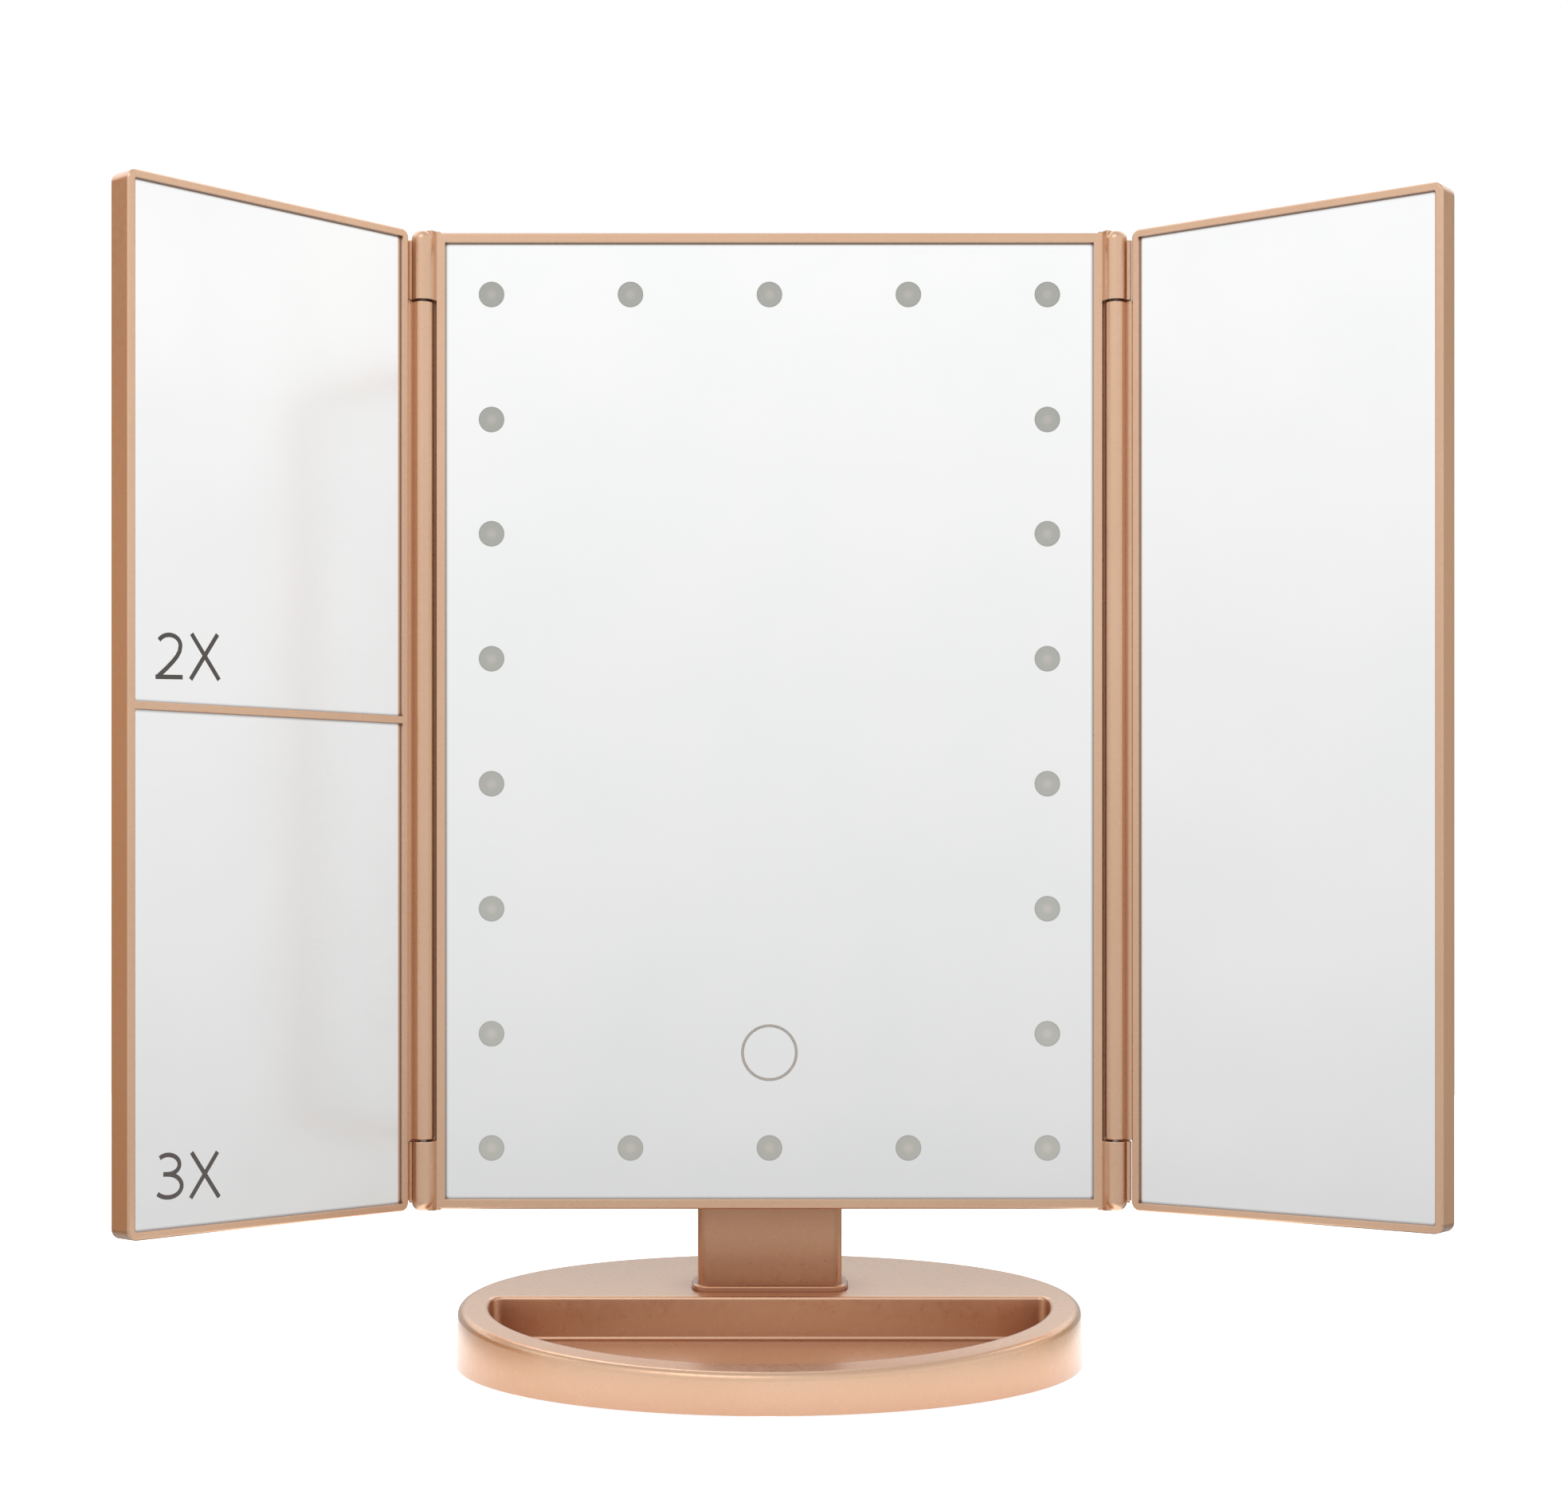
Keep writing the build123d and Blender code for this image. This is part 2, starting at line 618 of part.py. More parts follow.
def neck_shell():
    shape = Pos(0, pivot_y, seat_z) * extrude(RectangleRounded(neck_width, neck_depth, neck_corner),
                                              pivot_height - seat_z)
    barrel = rod_x(tilt_barrel, (-neck_half, neck_half), pivot_y, pivot_height)
    shape += chamfer(barrel.edges().filter_by(GeomType.CIRCLE), 0.6)
    foot = RectangleRounded(neck_width + 2 * flange_out, neck_depth + 2 * flange_out,
                            neck_corner + flange_out)
    foot = Pos(0, pivot_y, seat_z) * extrude(foot, flange_top - seat_z)
    shape += fillet(foot.edges().group_by(Axis.Z)[-1], 0.6)
    shape += block((-tongue_width / 2, tongue_width / 2), (tongue_y, tongue_y + tongue_depth),
                   (tongue_low, seat_z + 1))
    inner = neck_half - neck_wall
    shape -= block((-inner, inner), (neck_front + neck_wall, neck_back + 1),
                   (neck_cavity_low, neck_cavity_high))
    shape -= block((-inner - neck_ledge, inner + neck_ledge), (neck_back - neck_plate, neck_back + 1),
                   (neck_cavity_low - neck_ledge, neck_cavity_high + neck_ledge))
    for x, z in neck_screw_places:
        shape += rod_y(boss_radius, x, (neck_front + neck_wall / 2, neck_back - neck_plate), z)
        shape -= rod_y(screw_radius + press, x,
                       (neck_back - neck_plate - screw_grip - pilot_spare, neck_back), z)
    shape -= lead_hole((seat_z - 1, neck_cavity_low + 1))
    for x in (-tongue_screw_x, tongue_screw_x):
        shape -= rod_z(screw_radius + press, x, tongue_middle,
                       (tongue_low - 1, tongue_low + screw_grip + pilot_spare))
    return shape - rod_x(tilt_pin_radius + running, (-neck_width, neck_width), pivot_y, pivot_height)


def lead_hole(z):
    return block((-lead_width / 2 - fit, lead_width / 2 + fit), (lead_y[0] - fit, lead_y[1] + fit), z)


def neck_back_cover():
    half = neck_half - neck_wall + neck_ledge - fit
    z = (neck_cavity_low - neck_ledge + fit, neck_cavity_high + neck_ledge - fit)
    shape = block((-half, half), (neck_back - neck_plate, neck_back), z)
    for x, screw_z in neck_screw_places:
        shape -= Pos(x, neck_back, screw_z) * Rot(-90, 0, 0) * screw_hole(neck_plate + 1)
    return shape


def neck_cover_screws():
    return [Pos(x, neck_back, z) * Rot(-90, 0, 0) * screw(neck_plate + screw_grip)
            for x, z in neck_screw_places]


def neck_base_screws():
    """Driven up through the base's socket into the neck's tongue."""
    return [Pos(x, tongue_middle, socket_low) * Rot(180, 0, 0) * screw(socket_floor + fit + screw_grip)
            for x in (-tongue_screw_x, tongue_screw_x)]


def neck_lead():
    """Flat lead down the neck, over the cells and down to the power board."""
    x = (-lead_width / 2, lead_width / 2)
    low = cell_z + cell_diameter / 2 + 0.1
    drop = bay_back + bay_wall + 1.6
    shape = block(x, lead_y, (low, neck_cavity_high - 1.0))
    shape += block(x, (lead_y[0], drop + ribbon), (low, low + ribbon))
    return shape + block(x, (drop, drop + ribbon), (board_z[1], low + ribbon))


# ---------------------------------------------------------------- base
socket_low = tongue_low - fit - socket_floor
board_z = (shell_z + board_lift, shell_z + board_lift + board_depth)
board_y = (bay_back + bay_wall + board_gap, b - wall - board_to_wall)
switch_z = board_z[1] + switch_above_board
switch_slot = (knob_width + switch_travel) / 2 + slide_gap


def around_oval(inset, angle):
    """Place on the base's oval, set in from its edge."""
    return (a - inset) * cos(radians(angle)), (b - inset) * sin(radians(angle))


screw_inset = base_draft + rim / 2
rear_screw_y = bay_back + screw_to_bay
rear_screw_x = (a - screw_inset) * sqrt(1 - (rear_screw_y / (b - screw_inset)) ** 2)
base_screw_places = [around_oval(screw_inset, angle) for angle in (-90, -142, -38, 166, 14)]
base_screw_places += [(-rear_screw_x, rear_screw_y), (rear_screw_x, rear_screw_y)]
foot_places = [(0, 0), around_oval(foot_inset, -132), around_oval(foot_inset, -48),
               around_oval(foot_inset, 155), around_oval(foot_inset, 25),
               (0, b - wall - foot_radius - foot_gap)]


def oval(inset, z):
    """Oval prism, drafted inward with height as the base's side is."""
    lean = base_draft / (shell_high - shell_z)
    sections = [Pos(0, 0, height) * Ellipse(a - inset - lean * (height - shell_z),
                                            b - inset - lean * (height - shell_z)) for height in z]
    return loft(sections, ruled=True)


def under_crown(shape, depth=0.0):
    """What lies below the base's curved top, or a given depth below that."""
    return shape & rod_x(crown_radius - depth, (-base_width, base_width), b, crown_axis_z)


def tray_outline(grow):
    """Half oval in front of the tray's straight wall, grown outward on all sides."""
    half_x = a - base_draft - rim + grow
    half_y = b - base_draft - rim + grow
    angle = degrees(asin((tray_back + grow) / half_y))
    front = EllipticalCenterArc((0, 0), half_x, half_y, 180 - angle, arc_size=180 + 2 * angle)
    shape = make_face([front, Line(front @ 1, front @ 0)])
    return fillet(shape.vertices(), tray_corner + grow)


def base_outside():
    shape = under_crown(oval(0, (shell_z, shell_high + 1)))
    return fillet(shape.faces().sort_by(Axis.Z)[-1].edges(), base_round)


def base_shell():
    outside = base_outside()
    high = shell_high + 1
    cavity = under_crown(oval(wall, (shell_z - 0.01, high)), deck)
    tray = Pos(0, 0, floor_z - floor_thickness) * extrude(tray_outline(tray_wall), high)
    pocket = Pos(0, 0, floor_z) * extrude(tray_outline(0), high)
    pocket = fillet(pocket.edges().group_by(Axis.Z)[0], 1.0)
    shape = outside - (cavity - tray) - pocket
    brink = shape.faces().sort_by(Axis.Z)[-1].inner_wires()[0]
    shape = fillet(brink.edges(), tray_round)
    bay = block((-bay_half - bay_wall, bay_half + bay_wall), (bay_front - bay_wall, bay_back + bay_wall),
                (plate_top + 0.05, high))
    bay -= block((-bay_half, bay_half), (bay_front, bay_back), (0, high + 1))
    half = tongue_width / 2 + fit
    pad = block((-half - 1.5, half + 1.5), (tongue_y - fit - 1.5, tongue_y + tongue_depth + fit + 1.0),
                (socket_low, high))
    inside = under_crown(oval(wall / 2, (shell_z, high)), deck / 2)
    shape += (bay + pad) & inside
    for x, y in base_screw_places:
        shape += rod_z(boss_radius, x, y, (plate_top + 0.05, crown_z(y) - deck / 2 - 0.3))
        shape -= rod_z(screw_radius + press, x, y, (0, plate_top + screw_grip + pilot_spare))
    # neck seat, tongue socket and the two screws below it
    foot = RectangleRounded(neck_width + 2 * (flange_out + fit), neck_depth + 2 * (flange_out + fit),
                            neck_corner + flange_out + fit)
    shape -= Pos(0, pivot_y, seat_z) * extrude(foot, high)
    shape -= block((-half, half), (tongue_y - fit, tongue_y + tongue_depth + fit), (tongue_low - fit, high))
    for x in (-tongue_screw_x, tongue_screw_x):
        shape -= Pos(x, tongue_middle, socket_low) * Rot(180, 0, 0) * screw_hole(socket_floor + 1)
    # ways for the lead and for the door's hinge tabs
    shape -= lead_hole((cell_z, high))
    lead_low = cell_z + cell_diameter / 2
    shape -= block((-lead_width / 2 - fit, lead_width / 2 + fit), (lead_y[0], bay_back + bay_wall + 0.1),
                   (lead_low - 0.1, lead_low + ribbon + 0.3)) & inside
    for x in tab_places:
        shape -= block((x - tab_width / 2 - slide_gap, x + tab_width / 2 + slide_gap),
                       (bay_front - bay_wall - 0.1, bay_front + 0.1), (0, plate_top + 2.0))
    # rear openings for the power socket and the switch
    half = socket_width / 2 + socket_gap
    shape -= block((socket_x - half, socket_x + half), (b - 3 * wall, b + 1),
                   (board_z[1] - socket_gap, board_z[1] + socket_height + socket_gap))
    return shape - block((switch_x - switch_slot, switch_x + switch_slot), (b - 3 * wall, b + 1),
                         (switch_z - knob_height / 2 - slide_gap, switch_z + knob_height / 2 + slide_gap))


def base_bottom_cover():
    shape = oval(wall + fit, (shell_z, plate_top))
    shape -= block((-bay_half, bay_half), (bay_front, bay_back), (0, plate_top + 1))
    shape -= block((-latch_width / 2 - slide_gap, latch_width / 2 + slide_gap),
                   (bay_back - 1, bay_back + latch_reach + slide_gap), (0, plate_top + 1))
    for x in (board_post_inset - board_width / 2, board_width / 2 - board_post_inset):
        shape += rod_z(post_radius, x, (board_y[0] + board_y[1]) / 2, (shell_z + 0.5, board_z[0]))
    for x, y in base_screw_places:
        shape -= Pos(x, y, shell_z) * Rot(180, 0, 0) * screw_hole(cover_plate + 1)
    for x, y in foot_places:
        shape -= rod_z(foot_radius, x, y, (0, shell_z + foot_recess))
    return shape


def base_screws():
    return [Pos(x, y, shell_z) * Rot(180, 0, 0) * screw(cover_plate + screw_grip)
            for x, y in base_screw_places]


def rubber_feet():
    feet = []
    for x, y in foot_places:
        foot = rod_z(foot_radius, x, y, (0, shell_z + foot_recess))
        feet.append(fillet(foot.edges().sort_by(Axis.Z)[0], 0.4))
    return feet


def ballast_bars():
    y = (tray_back + tray_wall + 0.6, bay_front - bay_wall - 0.6)
    x = (tongue_width / 2 + 4.0, bay_half + 8.0)
    bar = block(x, y, (plate_top, crown_z(y[0]) - deck - 0.3))
    return [bar, mirrored(bar)]


def cell_starts():
    """Where each row's two cells start and which way their caps point."""
    near = bay_half - contact - spring_length - 0.1
    return [(cell_rows[0], -near, 1), (cell_rows[1], near, -1)]


def batteries():
    cells = []
    cap_length = 1.0
    for y, start, way in cell_starts():
        for n in (0, 1):
            x = start + way * n * cell_length
            can = rod_x(cell_diameter / 2, sorted((x, x + way * (cell_length - cap_length))), y, cell_z)
            can = chamfer(can.edges().filter_by(GeomType.CIRCLE), 0.3)
            cap = rod_x(1.9, sorted((x, x + way * cell_length)), y, cell_z)
            cells.append(can + cap)
    return cells


def battery_plates():
    half = cell_diameter / 2 - 0.8
    return [block(sorted((side * bay_half, side * (bay_half - contact))), (y - half, y + half),
                  (cell_z - half, cell_z + half)) for y in cell_rows for side in (-1, 1)]


def battery_springs():
    coil = Helix(spring_pitch, spring_length - 2 * spring_wire - fit, spring_radius)
    section = Plane(coil @ 0, z_dir=coil % 0) * Circle(spring_wire)
    coil = sweep(section, path=coil, is_frenet=True)
    seat = bay_half - contact - spring_wire - fit / 2
    return [Pos(-way * seat, y, cell_z) * Rot(0, way * 90, 0) * coil for y, start, way in cell_starts()]


def power_board():
    return block((-board_width / 2, board_width / 2), board_y, board_z)


def board_chips():
    low = board_z[1]
    driver = block((-2.5, 2.5), (board_y[0] + 2.2, board_y[0] + 6.0), (low, low + 1.2))
    coil = rod_z(2.0, board_width / 2 - 3.0, board_y[0] + 3.0, (low, low + 2.4))
    return [driver, coil]


def usb_socket():
    """Power inlet: a pressed steel shell with a tongue in its mouth."""
    low = board_z[1]
    mouth = b - 1.3
    half = socket_width / 2
    inner = half - socket_wall
    shape = block((socket_x - half, socket_x + half), (mouth - socket_length, mouth),
                  (low, low + socket_height))
    shape = fillet(shape.edges().filter_by(Axis.Y), 0.6)
    shape -= block((socket_x - inner, socket_x + inner), (mouth - socket_length + 0.6, mouth + 1),
                   (low + socket_wall, low + socket_height - socket_wall))
    tongue = (low + socket_height / 2, low + socket_height / 2 + 0.5)
    return shape + block((socket_x - inner + 0.8, socket_x + inner - 0.8),
                         (mouth - socket_length + 0.3, mouth - 1.0), tongue)


def switch_housing():
    y = (board_y[1] - 1.6, board_y[1] + 2.0)
    shape = block((switch_x - 4.3, switch_x + 4.3), y, (board_z[1], board_z[1] + 3.8))
    return shape - block((switch_x - switch_slot, switch_x + switch_slot), (y[0] + 0.8, y[1] + 1),
                         (switch_z - knob_height / 2 - slide_gap, switch_z + knob_height / 2 + slide_gap))


def switch_knob():
    x = switch_x - switch_travel / 2
    y = (board_y[1] - 0.4, b - base_draft + knob_proud)
    shape = block((x - knob_width / 2, x + knob_width / 2), y,
                  (switch_z - knob_height / 2, switch_z + knob_height / 2))
    for offset in (-0.7, 0.0, 0.7):
        shape -= block((x + offset - 0.15, x + offset + 0.15), (y[1] - 0.3, y[1] + 1),
                       (switch_z - knob_height, switch_z + knob_height))
    return shape


def battery_door():
    """Hinges on two tabs behind the bottom cover's edge and snaps shut at its tongue."""
    x = bay_half - slide_gap
    front = bay_front + slide_gap
    shape = block((-x, x), (front, bay_back - slide_gap), (shell_z, plate_top))
    for tab_x in tab_places:
        side = (tab_x - tab_width / 2, tab_x + tab_width / 2)
        shape += block(side, (front, front + 2.0), (shell_z, plate_top + 1.0))
        shape += block(side, (front - 1.5, front + 2.0), (plate_top + 0.1, plate_top + 1.0))
    shape += block((-latch_width / 2, latch_width / 2), (bay_back - 1, bay_back + latch_reach - slide_gap),
                   (shell_z, shell_z + 1.2))
    grip = extrude(SlotOverall(grip_width, grip_height), grip_depth, both=True)
    return shape - Pos(0, bay_back - grip_height, shell_z) * grip


# ---------------------------------------------------------------- the nodes
head = {
    "centre_frame": centre_frame(), "centre_back_cover": centre_back_cover(),
    "centre_mirror": centre_mirror(), "mirror_tape": mirror_tape(),
    "light_diffuser": light_strip((tape_back, diffuser_back)),
    "light_board": light_strip((board_front, board_back)), "led_chips": led_chips(),
    "touch_pad": touch_pad(), "touch_board": touch_board(), "touch_chips": touch_chips(),
    "light_lead": light_lead(), "head_lead": head_lead(), "back_cover_screws": cover_screws(),
    "tilt_bracket": tilt_bracket(), "tilt_bracket_screws": bracket_screws(), "tilt_pin": tilt_pin(),
    "tilt_nut": tilt_nut(), "tilt_washers": tilt_washers(),
    "left_hinge_bushes": hinge_bushes(-1), "right_hinge_bushes": hinge_bushes(1),
}
left_wing = {
    "left_wing_frame": wing_frame(True), "left_wing_back": wing_back(True),
    "left_mirror_upper": half_wing(wing_mirror(), 1), "left_mirror_lower": half_wing(wing_mirror(), -1),
    "left_wing_tape": [half_wing(wing_tape(), end) for end in (-1, 1)],
    "left_hinge_pins": hinge_pins(),
}
right_wing = {
    "right_wing_frame": wing_frame(False), "right_wing_back": wing_back(False),
    "right_mirror": wing_mirror(), "right_wing_tape": wing_tape(), "right_hinge_pins": hinge_pins(),
}
stand = {
    "base_shell": base_shell(), "base_bottom_cover": base_bottom_cover(), "base_screws": base_screws(),
    "rubber_feet": rubber_feet(), "ballast_bars": ballast_bars(), "batteries": batteries(),
    "battery_plates": battery_plates(), "battery_springs": battery_springs(),
    "power_board": power_board(), "board_chips": board_chips(), "usb_socket": usb_socket(),
    "switch_housing": switch_housing(), "switch_knob": switch_knob(), "battery_door": battery_door(),
    "neck_shell": neck_shell(), "neck_back_cover": neck_back_cover(),
    "neck_cover_screws": neck_cover_screws(), "neck_base_screws": neck_base_screws(),
    "neck_lead": neck_lead(),
}

for nodes, place, left in ((head, head_place, False), (left_wing, left_place, True),
                           (right_wing, right_place, False), (stand, Pos(0, 0, 0), False)):
    for node, shape in nodes.items():
        solids = [solid for piece in (shape if isinstance(shape, list) else [shape])
                  for solid in piece.solids()]
        solids = [place * (mirrored(solid) if left else solid) for solid in solids]
        export_step(Compound(children=solids) if len(solids) > 1 else solids[0], f"parts/{node}.step")
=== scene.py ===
import json
import math

import bmesh
import bpy
from mathutils import Matrix, Vector


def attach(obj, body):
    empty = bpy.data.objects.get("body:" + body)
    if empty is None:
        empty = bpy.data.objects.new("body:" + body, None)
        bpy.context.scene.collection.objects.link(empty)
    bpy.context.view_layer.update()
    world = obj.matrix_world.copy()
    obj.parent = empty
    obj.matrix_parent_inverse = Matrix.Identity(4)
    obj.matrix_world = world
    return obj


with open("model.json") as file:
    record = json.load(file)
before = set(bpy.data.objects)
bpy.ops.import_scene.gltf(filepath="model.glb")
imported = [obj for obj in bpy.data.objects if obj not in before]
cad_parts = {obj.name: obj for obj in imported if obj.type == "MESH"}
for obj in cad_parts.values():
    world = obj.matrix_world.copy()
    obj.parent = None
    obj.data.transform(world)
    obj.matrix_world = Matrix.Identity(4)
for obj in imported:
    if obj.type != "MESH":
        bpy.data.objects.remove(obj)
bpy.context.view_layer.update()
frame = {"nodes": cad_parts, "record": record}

MM = 0.001

# ---------------------------------------------------------------- the part's own places, in mm
# They repeat part.py's values. Inside the head, x and z run from the middle of the centre
# mirror, and y runs back from the front of its frame.
PIVOT_Y, PIVOT_HEIGHT = 18.597, 80.9
PIVOT_DEPTH, PIVOT_Z = 20.7, -80.0
HEAD_TILT = math.radians(2.8)
HINGE_X, HINGE_PROUD = 86.55, 0.25
LEFT_OPEN = math.radians(47.4)
WINDOW_RADIUS = 3.2
COLUMN_PITCH, SIDE_COLUMN_X = 34.8, 69.6
WINDOW_ROWS = (106.85, 75.55, 46.95, 15.65, -15.65, -46.95, -78.25, -106.85)
ETCH_FRONT, ETCH_BACK = 1.34, 1.44
TOUCH_RADIUS, TOUCH_LINE, TOUCH_Z = 7.1, 0.7, -83.0

head_matrix = (Matrix.Translation((0, PIVOT_Y, PIVOT_HEIGHT)) @ Matrix.Rotation(-HEAD_TILT, 4, "X")
               @ Matrix.Translation((0, -PIVOT_DEPTH, -PIVOT_Z)))
left_matrix = (head_matrix @ Matrix.Translation((-HINGE_X, -HINGE_PROUD, 0))
               @ Matrix.Rotation(LEFT_OPEN, 4, "Z"))


# ---------------------------------------------------------------- camera, fitted to the picture
CAMERA_PLACE = (0.00365, -0.68933, 0.15487)
CAMERA_DOWN = math.radians(2.8)
SENSOR, LENS, SHIFT_UP, NEAREST = 36.0, 63.37, 0.0869, 0.01

camera_data = bpy.data.cameras.new("camera")
camera_data.sensor_width = SENSOR
camera_data.lens = LENS
camera_data.shift_y = SHIFT_UP
camera_data.clip_start = NEAREST
camera = bpy.data.objects.new("camera", camera_data)
camera.location = CAMERA_PLACE
camera.rotation_euler = (math.radians(90) - CAMERA_DOWN, 0, 0)
bpy.context.scene.collection.objects.link(camera)
bpy.context.scene.camera = camera
bpy.context.scene.view_settings.view_transform = "Standard"


# ---------------------------------------------------------------- node helpers
HOLLOW_SAMPLES, EDGE_SAMPLES = 20, 6
EDGE_SHARP, EDGE_NONE = 0.75, 0.995     # how far the rounded normal leans off the flat one


def srgb(r, g, b):
    """An sRGB colour, 0 to 255, as linear RGBA."""
    def linear(v):
        v /= 255
        return v / 12.92 if v <= 0.04045 else ((v + 0.055) / 1.055) ** 2.4
    return (linear(r), linear(g), linear(b), 1.0)


class Nodes:
    """A new material with short ways to add and join its nodes."""

    def __init__(self, name):
        self.material = bpy.data.materials.new(name)
        self.material.use_nodes = True
        self.tree = self.material.node_tree
        self.shader = self.tree.nodes["Principled BSDF"]
        self.place = self.add("ShaderNodeTexCoord").outputs["Object"]

    def add(self, kind, inputs=None, **settings):
        node = self.tree.nodes.new(kind)
        for key, value in settings.items():
            setattr(node, key, value)
        for key, value in (inputs or {}).items():
            self.feed(node.inputs[key], value)
        return node

    def feed(self, socket, value):
        if isinstance(value, bpy.types.NodeSocket):
            self.tree.links.new(value, socket)
        else:
            socket.default_value = value

    def set(self, **values):
        for key, value in values.items():
            self.feed(self.shader.inputs[key.replace("_", " ")], value)

    def noise(self, scale, detail=2.0, roughness=0.5, stretch=None):
        where = self.place
        if stretch:
            where = self.add("ShaderNodeMapping", {"Vector": where, "Scale": stretch}).outputs[0]
        return self.add("ShaderNodeTexNoise", {"Vector": where, "Scale": scale, "Detail": detail,
                                               "Roughness": roughness}).outputs["Fac"]

    def spread(self, value, low, high, start=0.3, end=0.7):
        """Maps start..end to low..high; the defaults are a noise's middle range."""
        return self.add("ShaderNodeMapRange", {"Value": value, "From Min": start, "From Max": end,
                                               "To Min": low, "To Max": high}).outputs["Result"]

    def math(self, operation, first, second=0.0):
        node = self.add("ShaderNodeMath", operation=operation)
        self.feed(node.inputs[0], first)
        self.feed(node.inputs[1], second)
        return node.outputs[0]

    def mix(self, factor, first, second):
        node = self.add("ShaderNodeMix", data_type="RGBA")
        self.feed(node.inputs[0], factor)
        self.feed(node.inputs[6], first)
        self.feed(node.inputs[7], second)
        return node.outputs[2]

    def bump(self, height, strength, distance, normal=None):
        inputs = {"Height": height, "Strength": strength, "Distance": distance}
        if normal:
            inputs["Normal"] = normal
        return self.add("ShaderNodeBump", inputs).outputs[0]

    def crevices(self, reach):
        """1 in the open, lower in corners, grooves and gaps narrower than the reach."""
        return self.add("ShaderNodeAmbientOcclusion", {"Distance": reach},
                        samples=HOLLOW_SAMPLES).outputs["AO"]

    def edges(self, radius):
        """Rounded normal, and a mask that is 1 on convex and concave edges."""
        rounded = self.add("ShaderNodeBevel", {"Radius": radius}, samples=EDGE_SAMPLES).outputs[0]
        flat = self.add("ShaderNodeNewGeometry").outputs["Normal"]
        dot = self.add("ShaderNodeVectorMath", operation="DOT_PRODUCT")
        self.feed(dot.inputs[0], rounded)
        self.feed(dot.inputs[1], flat)
        return rounded, self.spread(dot.outputs["Value"], 1.0, 0.0, EDGE_SHARP, EDGE_NONE)


# ---------------------------------------------------------------- materials, one per slot
# Noise scales are in turns per metre, and reaches and radii in metres.
CLOUD_SCALE, FLAKE_SCALE, PEEL_SCALE = 14, 2800, 650
# How far each painted shade reaches: in the tray, in seams and gaps, and against a mirror's lip.
TRAY_SHADE_REACH, SEAM_SHADE_REACH, LIP_SHADE_REACH = 0.014, 0.0014, 0.0010
GOLD_EDGE, PLASTIC_EDGE, METAL_EDGE = 0.00035, 0.0002, 0.0001
GOLD_LOW, GOLD_HIGH = srgb(222, 179, 146), srgb(228, 187, 155)
# The neck's lacquer is painted darker than the rest: painted shade on the same paint.
NECK_SHADED_LOW, NECK_SHADED_HIGH = srgb(204, 154, 117), srgb(211, 162, 126)
# Flake colour, and the painted highlight on the lacquer's edges.
GOLD_FLAKE, GOLD_EDGE_HIGHLIGHT = srgb(244, 214, 186), srgb(242, 206, 178)
# Painted shade: brown laid in hollows as wide as the tray, and in seams and narrow gaps.
GOLD_HOLLOW_SHADE, GOLD_SEAM_SHADE = srgb(140, 62, 8), srgb(146, 76, 40)


def rose_gold(name, low, high, shade):
    """Satin metallic lacquer: fine flake, faint cloudiness, slight orange peel, a painted
    highlight on its edges and painted brown shade in seams and narrow gaps. The shade deepens the
    colour in hollows as wide as the tray as painted shade."""
    m = Nodes(name)
    rounded, edge = m.edges(GOLD_EDGE)
    peel = m.noise(PEEL_SCALE, 2)
    colour = m.mix(m.spread(m.noise(CLOUD_SCALE, 3), 0, 1), low, high)
    colour = m.mix(m.spread(m.noise(FLAKE_SCALE, 1), 0, 0.12), colour, GOLD_FLAKE)
    # Painted highlight: lighter colour on the edges.
    colour = m.mix(m.math("MULTIPLY", edge, 0.25), colour, GOLD_EDGE_HIGHLIGHT)
    # Painted shade in hollows as wide as the tray.
    if shade:
        hollow_shade = m.spread(m.crevices(TRAY_SHADE_REACH), shade, 0.0, 0.2, 0.95)
        colour = m.mix(hollow_shade, colour, GOLD_HOLLOW_SHADE)
    # Painted shade in seams, corners and narrow gaps.
    seam_shade = m.spread(m.crevices(SEAM_SHADE_REACH), 0.60, 0.0, 0.25, 0.85)
    colour = m.mix(seam_shade, colour, GOLD_SEAM_SHADE)
    rough = m.math("ADD", m.spread(peel, 0.27, 0.34), m.math("MULTIPLY", edge, -0.05))
    m.set(Base_Color=colour, Metallic=1.0, Roughness=rough, Coat_Weight=1.0, Coat_Roughness=0.3,
          Normal=m.bump(peel, 0.10, 0.00006, rounded))
    return m.material


def mirror_glass():
    """Silvered glass: bright metal under clear glass, with the faintest film of smudges, and
    painted shade where it meets the lip of its frame."""
    m = Nodes("silvered_glass")
    smudge = m.noise(22, 5, 0.6)
    colour = m.mix(m.spread(smudge, 0, 1), srgb(253, 253, 253), srgb(250, 251, 251))
    # Painted shade: the glass darkens against the lip of its frame.
    lip_shade = m.spread(m.crevices(LIP_SHADE_REACH), 0.8, 0.0, 0.45, 0.9)
    m.set(Base_Color=m.mix(lip_shade, colour, srgb(104, 84, 72)), Metallic=1.0,
          Roughness=m.spread(smudge, 0.13, 0.17), Coat_Weight=0.15, Coat_Roughness=0.02)
    return m.material


def plastic(name, dark, light, rough, grain=900, depth=0.00004, edge_tone=None):
    """Moulded plastic with a fine grain, and lighter edges where it has an edge tone."""
    m = Nodes(name)
    rounded, edge = m.edges(PLASTIC_EDGE)
    cloud, fine = m.noise(40, 3), m.noise(grain, 3)
    colour = m.mix(m.spread(cloud, 0, 1), dark, light)
    if edge_tone:
        colour = m.mix(m.math("MULTIPLY", edge, 0.5), colour, edge_tone)
    m.set(Base_Color=colour, Roughness=m.spread(fine, rough - 0.05, rough + 0.05),
          Normal=m.bump(fine, 0.35, depth, rounded))
    return m.material


